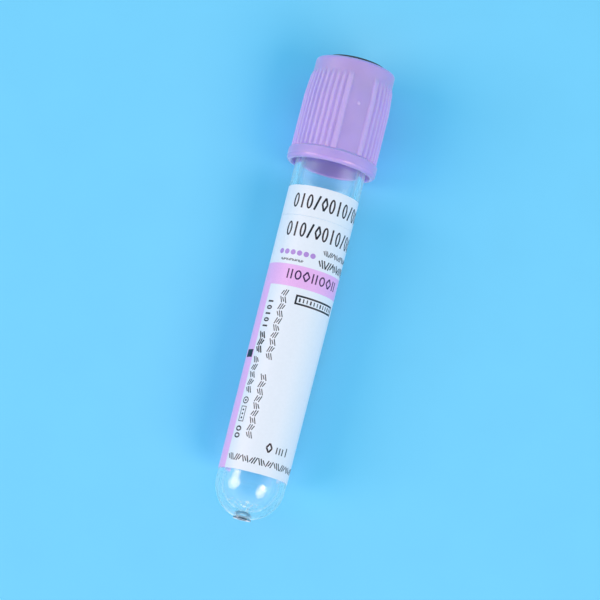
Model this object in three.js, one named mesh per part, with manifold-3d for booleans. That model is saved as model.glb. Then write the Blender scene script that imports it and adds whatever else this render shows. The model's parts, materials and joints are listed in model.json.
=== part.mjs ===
// A 13 x 75 mm evacuated blood collection tube, closed by a ribbed pull-off cap and lying on its side.
//
// Every piece is turned about the tube's own axis. That axis is local +Y, with Y = 0 at the tube's
// closed end and local +Z facing up. The finished group is tipped to lie on the cap's rim and the
// tube's round end, and its origin is the middle of the footprint, on the surface it lies on.

import * as THREE from 'three';
import { mergeVertices } from 'three/addons/utils/BufferGeometryUtils.js';
import Module from 'manifold-3d';

const wasm = await Module();
wasm.setup();

const degrees = THREE.MathUtils.degToRad;

// ---------------------------------------------------------------- driving dimensions, mm

// Tube: clear, injection moulded, slightly tapered, with a round closed end.
const tubeLength = 75;
const tubeMouthRadius = 6.3;
const tubeDraft = degrees(0.21);
const tubeWall = 1.0;
const tubeFloor = 1.2;
const tubeLipRounding = 0.3;
const tubeSides = 64;

// Gate: the flat button that the moulding leaves on the round end, with a small well in it.
const gateRadius = 1.45;
const gateDrop = 0.08;
const gateWellRadius = 0.75;
const gateWellDepth = 0.5;

// Label: paper wrapped round the tube, with a strip of bare tube left as a window.
const labelBottom = 7.66;
const labelHeight = 50.7;
const labelThickness = 0.045;
const labelGlueGap = 0.01;
const labelWindowMiddle = degrees(180);
const labelWindowWidth = degrees(110);
const tearStripHeight = 5.45;
const tearCut = 0.15;

// Cap: a thin moulded shield over the stopper. Its inside clears the tube's mouth, and its walls
// stand on that inside: a narrow head round the stopper, swelling to a skirt and a plain rim.
const capSkirtOverlap = 11.9;
const capCrownRise = 7.3;
const capCrownThickness = 1.2;
const capCrownRounding = 0.5;
const capLedgeWidth = 1.25;
const capHeadWall = 0.57;
const capSkirtWall = 0.6;
const capSwellRise = 4;
const capSwellHeight = 4.5;
const capRimProud = 0.6;
const capRimHeight = 2.15;
const capRimShoulder = 0.3;
const capRimRounding = 0.5;
const capChamberClearance = 0.25;
const capBeadClearance = 0.08;
const capBeadHeight = 0.9;
const capBoreClearance = 0.3;
const capBoreTaper = 0.18;
const capMouthFlare = 0.22;
const capMouthRounding = 0.3;
const capLeadInHeight = 2.6;
const capSides = 66;

// Grip ribs: two runs of narrow ribs, parted by two smooth panels with a wide rib on either side.
const ribHeight = 0.36;
const ribTopMargin = 1.9;
const ribRunOut = 2.0;
const ribsPerRun = 16;
const stepsPerRib = 6;
const panelSteps = 21;
const wideRibSteps = 14;
const ribFlankSteps = 1.9;
const narrowRibCrestSteps = 0.6;
const wideRibCrestSteps = 1.6;
const panelTurnSteps = 13.5;

// Gate mark: the small dot of the cap's own moulding gate, on one panel.
const gateMarkRadius = 0.3;
const gateMarkTopRadius = 0.2;
const gateMarkHeight = 0.1;
const gateMarkBelowCrown = 7.95;

// Stopper: dark rubber, its flange held in the cap and its plug sealing the tube.
const stopperBossProud = 0.45;
const stopperBossRounding = 0.3;
const stopperHoleClearance = 0.08;
const stopperFlangeClearance = 0.07;
const stopperSeatGap = 0.03;
const stopperFlangeChamfer = 0.35;
const stopperPlugLength = 6.2;
const stopperPlugClearance = 0.03;
const stopperRingHeight = 1.1;
const stopperRingDepth = 0.22;
const stopperRingCount = 2;
const stopperTipInset = 0.5;
const stopperTipLength = 1.0;
const stopperWellRadius = 2.7;
const stopperWellFloorRadius = 1.9;
const stopperWellFloorChamfer = 0.6;
const stopperWellDepth = 3.4;
const stopperHollowRadius = 2.75;
const stopperHollowDepth = 7.6;
const stopperSides = 40;

// Dried additive: a thin film sprayed into the round end, with drops standing on it.
const filmReach = degrees(52);
const filmThickness = 0.06;
const filmClearance = 0.04;
const filmSides = 24;
const dropCount = 13;
const dropLargest = 0.3;
const dropSmallest = 0.16;
const dropFlatness = 0.45;
const dropEdgeMargin = degrees(5);

// ---------------------------------------------------------------- sizes worked out from those

const endRadius = (tubeMouthRadius - tubeLength * Math.tan(tubeDraft)) / (1 - Math.tan(tubeDraft));
const bowlRadius = endRadius - tubeWall;
const bowlCentre = tubeFloor + bowlRadius;

const labelTop = labelBottom + labelHeight;
const tearLine = labelTop - tearStripHeight;

const capRimY = tubeLength - capSkirtOverlap;
const capTopY = tubeLength + capCrownRise;
const capCeilingY = capTopY - capCrownThickness;
const capRimTopY = capRimY + capRimHeight;
const capSwellTopY = tubeLength + capSwellRise;
const capSwellFootY = capSwellTopY - capSwellHeight;
const ribTopY = capTopY - ribTopMargin;

const capChamberRadius = tubeMouthRadius + capChamberClearance;
const capBeadRadius = tubeMouthRadius + capBeadClearance;
const capBoreRadius = tubeMouthRadius + capBoreClearance;
const capBoreFootRadius = capBoreRadius + capBoreTaper;
const capMouthRadius = capBoreFootRadius + capMouthFlare;
const capHoleRadius = capChamberRadius - capLedgeWidth;
const capHeadRadius = capChamberRadius + capHeadWall;
const capSkirtRadius = capBoreFootRadius + capSkirtWall;
const capRimRadius = capSkirtRadius + capRimProud;

const runSteps = (ribsPerRun - 1) * stepsPerRib;
const ribSides = 2 * (runSteps + 2 * panelSteps);

const stopperBossRadius = capHoleRadius - stopperHoleClearance;
const stopperFlangeRadius = capChamberRadius - stopperFlangeClearance;
const stopperSeatY = tubeLength + stopperSeatGap;
const stopperTipY = tubeLength - stopperPlugLength;

/** Outside radius of the tapered tube at height y. */
function tubeRadius(y) {
  return tubeMouthRadius - (tubeLength - y) * Math.tan(tubeDraft);
}

/** Inside radius of the tapered tube at height y. */
function tubeBore(y) {
  return tubeRadius(y) - tubeWall;
}

/** Radius of the smooth shell under the ribs at height y: skirt, swell or head. */
function capShellRadius(y) {
  const share = THREE.MathUtils.smoothstep(y, capSwellFootY, capSwellTopY);
  return THREE.MathUtils.lerp(capSkirtRadius, capHeadRadius, share);
}

// ---------------------------------------------------------------- shape tools

/** Points [r, y] on an arc about [r, y] = centre, from one angle to another. */
function arc(centre, radius, from, to, steps) {
  const points = [];
  for (let i = 0; i <= steps; i++) {
    const angle = THREE.MathUtils.lerp(from, to, i / steps);
    points.push([centre[0] + radius * Math.cos(angle), centre[1] + radius * Math.sin(angle)]);
  }
  return points;
}

/** Revolves [r, y] points about Y, with a flat and not a corner facing down. */
function revolve(points, sides) {
  const profile = points.map(([r, y]) => new THREE.Vector2(Math.max(r, 0), y));
  return new THREE.LatheGeometry(profile, sides, Math.PI / sides);
}

/** Revolves an outline that goes round a ring's section and closes on itself. */
function revolveRing(points, sides) {
  return revolve([...points, points[0]], sides);
}

/** A point [x, z] at a radius and an angle that is counted from straight up, towards +X. */
function around(radius, angle) {
  return [radius * Math.sin(angle), radius * Math.cos(angle)];
}

/** Merges shared vertices, leaving only positions and faces. */
function welded(geometry) {
  const bare = geometry.clone();
  bare.deleteAttribute('normal');
  bare.deleteAttribute('uv');
  return mergeVertices(bare);
}

/** A closed geometry as a manifold solid. */
function solid(geometry) {
  const mesh = welded(geometry);
  const vertProperties = new Float32Array(mesh.getAttribute('position').array);
  const triVerts = new Uint32Array(mesh.getIndex().array);
  return new wasm.Manifold(new wasm.Mesh({ numProp: 3, vertProperties, triVerts }));
}

/** A manifold solid as a geometry again. */
function geometryOf(manifold) {
  const mesh = manifold.getMesh();
  const geometry = new THREE.BufferGeometry();
  geometry.setAttribute('position', new THREE.BufferAttribute(mesh.vertProperties, 3));
  geometry.setIndex(new THREE.BufferAttribute(mesh.triVerts, 1));
  geometry.computeVertexNormals();
  return geometry;
}

/** A named mesh with its own material. */
function piece(name, geometry, finish) {
  const mesh = new THREE.Mesh(geometry, new THREE.MeshStandardMaterial(finish));
  mesh.name = name;
  return mesh;
}

// ---------------------------------------------------------------- tube

/** The tube's section: gate button, round end, tapered wall, rounded lip and round-bottomed bore. */
function tubeGeometry() {
  const gateAngle = -Math.acos(gateRadius / endRadius);
  const gateWellTop = gateWellDepth - gateDrop;
  const lipY = tubeLength - tubeLipRounding;
  const lipOuter = tubeRadius(tubeLength) - tubeLipRounding;
  const lipInner = tubeBore(tubeLength) + tubeLipRounding;
  const section = [
    [0, gateWellTop],
    [gateWellRadius, gateWellTop],
    [gateWellRadius, -gateDrop],
    [gateRadius, -gateDrop],
    ...arc([0, endRadius], endRadius, gateAngle, 0, 7),
    ...arc([lipOuter, lipY], tubeLipRounding, 0, Math.PI / 2, 2),
    ...arc([lipInner, lipY], tubeLipRounding, Math.PI / 2, Math.PI, 2),
    ...arc([0, bowlCentre], bowlRadius, 0, -Math.PI / 2, 8),
  ];
  return revolve(section, tubeSides);
}

// ---------------------------------------------------------------- label

/** A wedge, point on the axis, that cuts the window out of a wrapped label. */
function windowWedge() {
  const reach = 2 * tubeMouthRadius;
  const from = around(reach, labelWindowMiddle - labelWindowWidth / 2);
  const to = around(reach, labelWindowMiddle + labelWindowWidth / 2);
  const outline = new THREE.Shape();
  outline.moveTo(0, 0);
  outline.lineTo(from[0], -from[1]);
  outline.lineTo(to[0], -to[1]);
  outline.closePath();
  const wedge = new THREE.ExtrudeGeometry(outline, { depth: tubeLength, bevelEnabled: false });
  return wedge.rotateX(-Math.PI / 2);
}

/** Paper wrapped round the tube from one height to another. */
function wrapGeometry(bottom, top) {
  const inside = (y) => tubeRadius(y) + labelGlueGap;
  const outside = (y) => inside(y) + labelThickness;
  const section = [
    [inside(bottom), bottom],
    [outside(bottom), bottom],
    [outside(top), top],
    [inside(top), top],
  ];
  const sleeve = solid(revolveRing(section, tubeSides));
  return geometryOf(sleeve.subtract(solid(windowWedge())));
}

// ---------------------------------------------------------------- cap

/** Height of one rib, 0 to 1, at a distance from its crest in steps. */
function ribSection(distance, crestSteps) {
  const inward = crestSteps + ribFlankSteps - Math.abs(distance);
  return THREE.MathUtils.smoothstep(inward, 0, ribFlankSteps);
}

/** Height of the ribs, 0 to 1, at a step round the cap. */
function ribPattern(step) {
  const half = ribSides / 2;
  const turned = THREE.MathUtils.euclideanModulo(step - panelTurnSteps, half);
  const fromPanel = Math.min(turned, half - turned);
  const wide = ribSection(fromPanel - wideRibSteps, wideRibCrestSteps);
  const along = fromPanel - panelSteps;
  const nearest = Math.max(Math.round(along / stepsPerRib), 0) * stepsPerRib;
  const narrow = ribSection(along - nearest, narrowRibCrestSteps);
  return Math.max(wide, narrow);
}

/** How far the ribs have run out at height y: 1 below the run-out, 0 at their tops. */
function ribShare(y) {
  return 1 - THREE.MathUtils.smoothstep(y, ribTopY - ribRunOut, ribTopY);
}

/** The ribbed outside of the cap, from inside the rim to the crown. */
function capShell() {
  const crownInner = capHeadRadius - capCrownRounding;
  const levels = [
    capRimY + capRimRounding,
    capSwellFootY,
    (capSwellFootY + capSwellTopY) / 2,
    ribTopY - ribRunOut,
    ribTopY - ribRunOut / 2,
    ribTopY,
  ];
  const outline = [
    [0, levels[0]],
    ...levels.map((y) => [capShellRadius(y), y]),
    ...arc([crownInner, capTopY - capCrownRounding], capCrownRounding, 0, Math.PI / 2, 2),
    [0, capTopY],
  ];
  const geometry = revolve(outline, ribSides);
  const position = geometry.getAttribute('position');
  for (let i = 0; i < position.count; i++) {
    const step = Math.floor(i / outline.length) + 0.5;
    const [radius, y] = outline[i % outline.length];
    const proud = radius > 0 ? 1 + ribHeight * ribShare(y) * ribPattern(step) / radius : 1;
    position.setX(i, position.getX(i) * proud);
    position.setZ(i, position.getZ(i) * proud);
  }
  return geometry;
}

/** The plain band round the cap's mouth, rounded below and sloped into the ribs above. */
function capRim() {
  const rounding = [capRimRadius - capRimRounding, capRimY + capRimRounding];
  const outline = [
    [0, capRimY],
    ...arc(rounding, capRimRounding, -Math.PI / 2, 0, 2),
    [capRimRadius, capRimTopY],
    [capSkirtRadius, capRimTopY + capRimShoulder],
    [0, capRimTopY + capRimShoulder],
  ];
  return revolve(outline, capSides);
}

/** The cap's inside, from the hole in the crown to the flared mouth. */
function capInside() {
  const beadY = tubeLength - capBeadHeight;
  const mouthEdge = capMouthRadius + capMouthRounding;
  const overshoot = capCrownThickness;
  const outline = [
    [0, capRimY - overshoot],
    [mouthEdge, capRimY - overshoot],
    [mouthEdge, capRimY],
    [capMouthRadius, capRimY + capMouthRounding],
    [capBoreFootRadius, capRimY + capLeadInHeight],
    [capBoreRadius, beadY - capBeadHeight],
    [capBeadRadius, beadY],
    [capBeadRadius, beadY + capBeadHeight / 2],
    [capChamberRadius, tubeLength],
    [capChamberRadius, capCeilingY],
    [capHoleRadius, capCeilingY],
    [capHoleRadius, capTopY + overshoot],
    [0, capTopY + overshoot],
  ];
  return revolve(outline, capSides);
}

/** The small dot of the moulding gate, standing on the panel that faces up. */
function gateMark() {
  const y = capTopY - gateMarkBelowCrown;
  const angle = panelTurnSteps * (2 * Math.PI / ribSides);
  const height = 2 * gateMarkHeight;
  const mark = new THREE.CylinderGeometry(gateMarkTopRadius, gateMarkRadius, height, 12);
  mark.rotateX(Math.PI / 2);
  mark.translate(0, y, capShellRadius(y));
  return mark.rotateY(angle);
}

function capGeometry() {
  const outside = solid(capShell()).add(solid(capRim())).add(solid(gateMark()));
  return geometryOf(outside.subtract(solid(capInside())));
}

// ---------------------------------------------------------------- stopper

/** Points down one side of the plug: a groove, then a sealing ring, for each ring. */
function plugSide() {
  const ringsTop = tubeLength - tubeLipRounding - stopperRingHeight / 2;
  const pitch = (ringsTop - stopperTipY - stopperTipLength) / stopperRingCount;
  const seal = (y) => tubeBore(y) - stopperPlugClearance;
  const points = [];
  for (let i = 0; i < stopperRingCount; i++) {
    const ringTop = ringsTop - i * pitch - (pitch - stopperRingHeight);
    const ringFoot = ringTop - stopperRingHeight;
    const crest = stopperRingHeight / 4;
    points.push([seal(ringTop) - stopperRingDepth, ringTop]);
    points.push([seal(ringTop), ringTop - crest]);
    points.push([seal(ringFoot), ringFoot + crest]);
    points.push([seal(ringFoot) - stopperRingDepth, ringFoot]);
  }
  return points.reverse();
}

/** The stopper's section: hollow plug with sealing rings, flange, and boss with a needle well. */
function stopperGeometry() {
  const hollowTop = stopperTipY + stopperHollowDepth;
  const flangeTop = capCeilingY - stopperSeatGap;
  const bossTop = capTopY + stopperBossProud;
  const bossInner = stopperBossRadius - stopperBossRounding;
  const wellFloor = bossTop - stopperWellDepth;
  const root = tubeBore(tubeLength) - stopperPlugClearance - stopperRingDepth;
  const wellChamfer = stopperWellFloorRadius - stopperWellFloorChamfer;
  const section = [
    ...arc([0, hollowTop - stopperHollowRadius], stopperHollowRadius, Math.PI / 2, 0, 4),
    [stopperHollowRadius, stopperTipY],
    [root - stopperTipInset, stopperTipY],
    ...plugSide(),
    [root, stopperSeatY],
    [stopperFlangeRadius - stopperFlangeChamfer, stopperSeatY],
    [stopperFlangeRadius, stopperSeatY + stopperFlangeChamfer],
    [stopperFlangeRadius, flangeTop - stopperFlangeChamfer],
    [stopperFlangeRadius - stopperFlangeChamfer, flangeTop],
    [stopperBossRadius, flangeTop],
    ...arc([bossInner, bossTop - stopperBossRounding], stopperBossRounding, 0, Math.PI / 2, 2),
    [stopperWellRadius, bossTop],
    [stopperWellFloorRadius, wellFloor + stopperWellFloorChamfer],
    [wellChamfer, wellFloor],
    [0, wellFloor],
  ];
  return revolve(section, stopperSides);
}

// ---------------------------------------------------------------- dried additive

/** One flattened drop on the film, at its own place on a spiral that fills the film evenly. */
function drop(index) {
  const share = (index + 0.5) / dropCount;
  const polar = (filmReach - dropEdgeMargin) * Math.sqrt(share);
  const goldenTurn = index * Math.PI * (3 - Math.sqrt(5));
  const radius = THREE.MathUtils.lerp(dropLargest, dropSmallest, (index % 3) / 2);
  const foot = bowlRadius - filmClearance - filmThickness / 2;
  const shape = new THREE.SphereGeometry(radius, 7, 4);
  shape.scale(1, dropFlatness, 1);
  shape.translate(0, radius * dropFlatness - foot, 0);
  shape.rotateZ(polar);
  shape.rotateY(goldenTurn);
  return shape.translate(0, bowlCentre, 0);
}

/** The film, a thin cup that follows the round bottom of the bore, with its drops. */
function additiveGeometry() {
  const outer = bowlRadius - filmClearance;
  const edge = filmReach - Math.PI / 2;
  const section = [
    ...arc([0, bowlCentre], outer, -Math.PI / 2, edge, 5),
    ...arc([0, bowlCentre], outer - filmThickness, edge, -Math.PI / 2, 5),
  ];
  let film = solid(revolve(section, filmSides));
  for (let i = 0; i < dropCount; i++) {
    film = film.add(solid(drop(i)));
  }
  return geometryOf(film);
}

// ---------------------------------------------------------------- assembly

const closedEnd = new THREE.Group();
closedEnd.add(
  piece('tube', tubeGeometry(), {
    color: 0xdfeef6, roughness: 0.05, metalness: 0, transparent: true, opacity: 0.35,
  }),
  piece('label', wrapGeometry(labelBottom, tearLine), {
    color: 0xf2f3fa, roughness: 0.55, metalness: 0,
  }),
  piece('label_tear_strip', wrapGeometry(tearLine + tearCut, labelTop), {
    color: 0xf2f3fa, roughness: 0.55, metalness: 0,
  }),
  piece('dried_additive', additiveGeometry(), {
    color: 0xe8eef2, roughness: 0.3, metalness: 0, transparent: true, opacity: 0.6,
  }),
);

const pullOff = new THREE.Group();
pullOff.add(
  piece('cap', capGeometry(), { color: 0xb3a0e2, roughness: 0.5, metalness: 0 }),
  piece('stopper', stopperGeometry(), { color: 0x2c2e35, roughness: 0.7, metalness: 0 }),
);

/** The angle at which the rim and the round end both touch the surface, measured on their flats. */
function restingTilt() {
  const rim = capRimRadius * Math.cos(Math.PI / capSides);
  const end = endRadius * Math.cos(Math.PI / tubeSides);
  return Math.atan2(rim - end, capRimY + capRimRounding - endRadius);
}

const group = new THREE.Group();
group.name = 'blood_collection_tube';
group.add(closedEnd, pullOff);
group.rotation.x = restingTilt();
group.updateMatrixWorld(true);

const footprint = new THREE.Box3().setFromObject(group, true);
group.position.y = -(footprint.min.y + footprint.max.y) / 2;
group.position.z = -footprint.min.z;

export default group;
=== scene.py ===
"""A closed, labelled 13 x 75 mm blood collection tube, dressed round its packed frame.

Every turned piece is modelled upright about the tube's own axis, with the pole of its closed end at
height 0, and is then laid down to where the frame holds it. Lengths are in metres.
"""

import json
import math
import random

import bmesh
import bpy
from bpy.props import FloatProperty, FloatVectorProperty, IntProperty, PointerProperty
from mathutils import Matrix, Vector


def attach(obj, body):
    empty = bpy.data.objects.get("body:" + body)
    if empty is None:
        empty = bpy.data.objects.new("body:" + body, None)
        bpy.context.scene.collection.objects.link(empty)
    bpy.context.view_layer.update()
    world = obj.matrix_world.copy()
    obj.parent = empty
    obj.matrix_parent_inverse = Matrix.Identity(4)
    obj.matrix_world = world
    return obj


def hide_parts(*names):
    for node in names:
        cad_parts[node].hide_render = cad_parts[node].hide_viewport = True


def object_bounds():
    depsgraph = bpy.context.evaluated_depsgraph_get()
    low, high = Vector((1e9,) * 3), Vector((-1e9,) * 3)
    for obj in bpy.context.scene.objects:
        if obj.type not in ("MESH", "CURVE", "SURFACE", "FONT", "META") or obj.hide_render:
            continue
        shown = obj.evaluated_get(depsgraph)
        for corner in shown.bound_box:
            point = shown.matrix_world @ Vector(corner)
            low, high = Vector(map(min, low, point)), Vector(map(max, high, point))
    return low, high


bl_info = {
    "name": "Blood Collection Tube",
    "version": (1, 0, 0),
    "blender": (4, 5, 0),
    "location": "3D View > Sidebar > Collection Tube",
    "description": "Models a capped, labelled blood tube",
    "category": "Add Mesh",
}

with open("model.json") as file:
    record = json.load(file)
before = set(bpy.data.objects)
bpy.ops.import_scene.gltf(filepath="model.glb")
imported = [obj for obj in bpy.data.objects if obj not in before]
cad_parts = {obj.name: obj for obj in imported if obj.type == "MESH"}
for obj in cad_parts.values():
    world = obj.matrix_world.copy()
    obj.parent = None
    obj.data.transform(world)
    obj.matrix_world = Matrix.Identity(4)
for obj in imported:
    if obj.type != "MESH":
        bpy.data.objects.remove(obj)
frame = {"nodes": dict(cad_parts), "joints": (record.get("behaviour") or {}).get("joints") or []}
CAD_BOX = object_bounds()

MM = 0.001
GATE_DROP = 0.08 * MM  # how far the frame's moulding gate stands out of the tube's round end
WRAP_HEIGHT = 100 * MM  # height that the label's UV map spans

# ---- where the frame holds the tube ----

PULL = next(joint for joint in frame["joints"] if joint["name"] == "cap_pull")
ALONG = Vector(PULL["axis"]).normalized()  # from the closed end to the cap
ACROSS = Vector((1, 0, 0))
BELOW = ALONG.cross(ACROSS)


def extent(node, direction):
    """How far a CAD node reaches along a direction."""
    reach = [vertex.co.dot(direction) for vertex in frame["nodes"][node].data.vertices]
    return min(reach), max(reach)


POLE = extent("tube", ALONG)[0] + GATE_DROP
FOOT = ALONG * POLE + sum((way * sum(extent("tube", way)) / 2 for way in (ACROSS, BELOW)), Vector())
LAID_DOWN = Matrix.Translation(FOOT) @ Matrix((ACROSS, BELOW, ALONG)).transposed().to_4x4()
STOOD_UP = LAID_DOWN.inverted()


def span(node):
    """A CAD node's lowest and highest height above the pole."""
    low, high = extent(node, ALONG)
    return low - POLE, high - POLE


def girth(node):
    """The largest radius of a CAD node about the tube's axis."""
    points = (STOOD_UP @ vertex.co for vertex in frame["nodes"][node].data.vertices)
    return max(point.xy.length for point in points)


# ---- settings ----

def linear(code):
    """A #rrggbb colour as the linear red, green and blue that shaders take."""
    values = [int(code[i:i + 2], 16) / 255 for i in (1, 3, 5)]
    return tuple(v / 12.92 if v <= 0.04045 else ((v + 0.055) / 1.055) ** 2.4 for v in values)


def length(name, size, about):
    """A length for the panel, given here in millimetres and kept in metres."""
    return FloatProperty(name=name, description=about, default=size * MM, unit="LENGTH", precision=5)


def angle(name, degrees, about):
    """An angle for the panel, given here in degrees."""
    return FloatProperty(name=name, description=about, default=math.radians(degrees), subtype="ANGLE")


def colour(name, code, about):
    """A colour for the panel, given here as sRGB hex."""
    return FloatVectorProperty(name=name, description=about, default=linear(code), subtype="COLOR")


def count(name, number, about):
    """A whole number for the panel."""
    return IntProperty(name=name, description=about, default=number, min=1)


def level(name, share, about):
    """A brightness for the panel, as a share of its colour's own."""
    return FloatProperty(name=name, description=about, default=share, min=0)


class TubeSettings(bpy.types.PropertyGroup):
    """Sizes and finish of the clear tube."""
    height: length("Height", span("tube")[1] / MM, "From the closed end's pole to the mouth")
    mouth_radius: length("Mouth radius", girth("tube") / MM, "Outside radius at the mouth")
    draft: angle("Draft", 0.21, "Taper of the wall towards the closed end")
    wall: length("Wall", 1.0, "Thickness of the wall")
    floor: length("Floor", 1.2, "Thickness of the closed end at its pole")
    lip_rounding: length("Lip rounding", 0.3, "Rounding of the mouth's two edges")
    gate_radius: length("Gate radius", 1.6, "Radius of the moulding gate's button")
    gate_height: length("Gate height", 0.12, "How far the button stands out")
    gate_well_radius: length("Gate well radius", 0.9, "Radius of the well in the button")
    gate_well_depth: length("Gate well depth", 0.5, "Depth of the well in the button")
    tint: colour("Tint", "#fafdff", "Colour of light through the plastic")
    # Gate tint is painted shade: a dark colour painted on the gate button, for the dark line that shade
    # draws there.
    gate_shade_tint: colour("Gate tint", "#3d5a6a", "The same at the gate")
    steps: count("Steps", 192, "Steps round the tube")


class LabelSettings(bpy.types.PropertyGroup):
    """Sizes and colours of the printed label."""
    thickness: length("Thickness", 0.045, "Thickness of the paper")
    glue: length("Glue", 0.01, "Gap between the tube and the paper")
    cut: length("Cut", 0.03, "Width of the cut under the tear-off strip")
    window_middle: angle("Window middle", -180, "Middle of the bare strip, from the top")
    window_width: angle("Window width", 110, "Width of the bare strip")
    band_low: length("Band foot", 40.4, "Lower edge of the coloured band")
    band_high: length("Band top", 44.2, "Upper edge of the coloured band")
    stripe_edge: angle("Stripe edge", -52.5, "Right edge of the stripe, from the top")
    paper: colour("Paper", "#f0ecf8", "Coated paper")
    field: colour("Field", "#f4b4f0", "Lilac of the band and the stripe")
    ink: colour("Ink", "#0c0f22", "Dark print")
    band_ink: colour("Band ink", "#361050", "Print on the band")
    accent: colour("Accent", "#b98bd8", "The violet dots above the band")
    steps: count("Steps", 320, "Steps round the label")


class CapSettings(bpy.types.PropertyGroup):
    """Sizes and finish of the ribbed cap."""
    crown_drop: length("Crown drop", 0.24, "From the frame's crown to this one")
    crown_thickness: length("Crown thickness", 1.2, "Thickness of the crown")
    crown_rounding: length("Crown rounding", 0.5, "Rounding of the crown's outer edge")
    ledge_width: length("Ledge width", 1.25, "Width of the ledge over the stopper")
    head_wall: length("Head wall", 0.57, "Wall round the stopper")
    skirt_wall: length("Skirt wall", 0.6, "Wall at the foot of the ribs")
    swell_rise: length("Swell rise", 4.0, "Top of the swell over the tube's mouth")
    swell_height: length("Swell height", 4.5, "Height of the swell to the skirt")
    rim_height: length("Rim height", 2.15, "Height of the plain rim")
    rim_shoulder: length("Rim shoulder", 0.3, "Slope from the rim to the ribs")
    rim_rounding: length("Rim rounding", 0.7, "Rounding of the rim's lower edge")
    chamber_clearance: length("Chamber clearance", 0.25, "Round the tube's mouth to the chamber")
    bead_clearance: length("Bead clearance", 0.08, "From the tube's mouth to the snap bead")
    bead_height: length("Bead height", 0.9, "Height of one slope of the snap bead")
    bore_clearance: length("Bore clearance", 0.3, "From the tube's mouth to the skirt's bore")
    bore_taper: length("Bore taper", 0.18, "How much the bore opens to its foot")
    mouth_flare: length("Mouth flare", 0.22, "How much the lead-in opens")
    mouth_rounding: length("Mouth rounding", 0.25, "Bevel of the mouth's inner edge")
    lead_in_height: length("Lead-in height", 2.6, "Height of the flared lead-in")
    rib_height: length("Rib height", 0.3, "How far the ribs stand out")
    rib_top_margin: length("Rib top margin", 2.2, "Plain band above the ribs")
    rib_run_out: length("Rib run-out", 1.5, "Height over which ribs fade out")
    ribs_per_run: count("Ribs in a run", 16, "Narrow ribs in each of the two runs")
    rib_flank: angle("Rib flank", 2.6, "Width of a rib's slope")
    narrow_crest: angle("Narrow crest", 0.8, "Half the flat of a narrow rib's crest")
    wide_crest: angle("Wide crest", 2.2, "Half the flat of a wide rib's crest")
    wide_rib_turn: angle("Wide rib turn", 210 / 11, "From a panel's middle to its wide ribs")
    panel_turn: angle("Panel turn", 202.5 / 11, "From the top to the upper panel's middle")
    gate_mark_radius: length("Gate mark radius", 0.36, "Radius of the moulding mark")
    gate_mark_height: length("Gate mark height", 0.14, "How far the mark stands out")
    gate_mark_drop: length("Gate mark drop", 7.7, "From the crown down to the mark")
    plastic: colour("Plastic", "#c2a1e0", "Lavender of the cap")
    # Crest is a painted highlight: paler lavender painted on the rib crests and the moulding mark, where
    # light catches them.
    crest: colour("Crest", "#cfafe9", "Paler lavender of the rubbed crests")
    # Inside is painted shade: a deeper violet painted in the skirt's bore and the chamber, where shade
    # falls.
    inside: colour("Inside", "#9c84cc", "Deeper violet of the inside")
    steps: count("Steps", 792, "Steps round the cap")


class StopperSettings(bpy.types.PropertyGroup):
    """Sizes and finish of the rubber stopper."""
    boss_rounding: length("Boss rounding", 0.15, "Rounding of the boss's edge")
    hole_clearance: length("Hole clearance", 0.08, "From the boss to the cap's hole")
    flange_clearance: length("Flange clearance", 0.07, "From the flange to the cap's wall")
    seat_gap: length("Seat gap", 0.03, "From the flange to the mouth and the crown")
    flange_chamfer: length("Flange chamfer", 0.35, "Chamfer of the flange's edges")
    plug_clearance: length("Plug clearance", 0.03, "From the sealing rings to the tube's bore")
    ring_height: length("Ring height", 1.1, "Height of a sealing ring")
    ring_depth: length("Ring depth", 0.22, "Depth of the groove between the rings")
    ring_count: count("Rings", 2, "Sealing rings on the plug")
    tip_inset: length("Tip inset", 0.5, "From the plug's root in to its tip")
    tip_length: length("Tip length", 1.0, "Height of the plug's tapered tip")
    well_radius: length("Well radius", 2.7, "Radius of the well at its top")
    well_floor_radius: length("Well floor radius", 1.9, "Radius of the well at its floor")
    well_chamfer: length("Well chamfer", 0.6, "Chamfer round the well's floor")
    well_depth: length("Well depth", 3.4, "Depth of the needle well")
    hollow_radius: length("Hollow radius", 2.75, "Radius of the plug's hollow")
    hollow_depth: length("Hollow depth", 7.6, "Depth of the plug's hollow")
    rubber: colour("Rubber", "#34363e", "Dark grey rubber")
    steps: count("Steps", 128, "Steps round the stopper")


class AdditiveSettings(bpy.types.PropertyGroup):
    """The dried additive in the round end."""
    reach: angle("Reach", 50, "How far the drops climb, from the bowl's centre")
    clearance: length("Clearance", 0.04, "Gap between the tube's bowl and the drops")
    drops: count("Drops", 110, "How many drops dried")
    largest: length("Largest drop", 0.3, "Radius of the largest drops")
    smallest: length("Smallest drop", 0.07, "Radius of the smallest drops")
    salt: colour("Salt", "#eaf6fb", "Colour of the dried salt")


class StudioSettings(bpy.types.PropertyGroup):
    """Floor, lamps and camera."""
    floor: colour("Floor", "#7ed2fb", "Pale sky-blue floor")
    floor_reach: length("Floor reach", 3000, "From the middle of the floor to its edges")
    floor_drop: length("Floor drop", 0.02, "How far rounds reach under the flats")
    sky: colour("Sky", "#a9dbf6", "What is seen past the floor")
    ambient: colour("Ambient light", "#62e7fc", "Colour of the light from all round")
    ambient_level: level("Ambient level", 0.75, "Strength of the light from all round")
    walls: colour("Walls", "#f6fbff", "Walls and ceiling, as gloss and glass show them")
    walls_level: level("Wall level", 1.4, "Brightness of the walls")
    ceiling_level: level("Ceiling level", 0.25, "Brightness of the ceiling")
    lamp_colour: colour("Lamp light", "#ffc1aa", "Colour of the softboxes")
    lamp_distance: length("Lamp distance", 1200, "From the tube to the softboxes")
    azimuth: angle("Azimuth", 14.03, "Turn of the camera from +Y, about the vertical")
    elevation: angle("Elevation", 78.6, "Height of the camera above the horizon")
    distance: length("Distance", 480, "From the camera to its aim")
    aim_height: length("Aim height", 39.4, "From the closed end's pole to the aim")
    aim_side: length("Aim side", 0.47, "From the tube's axis right to the aim")
    lens: length("Lens", 165.6, "Focal length on a 36 mm sensor")


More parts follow.
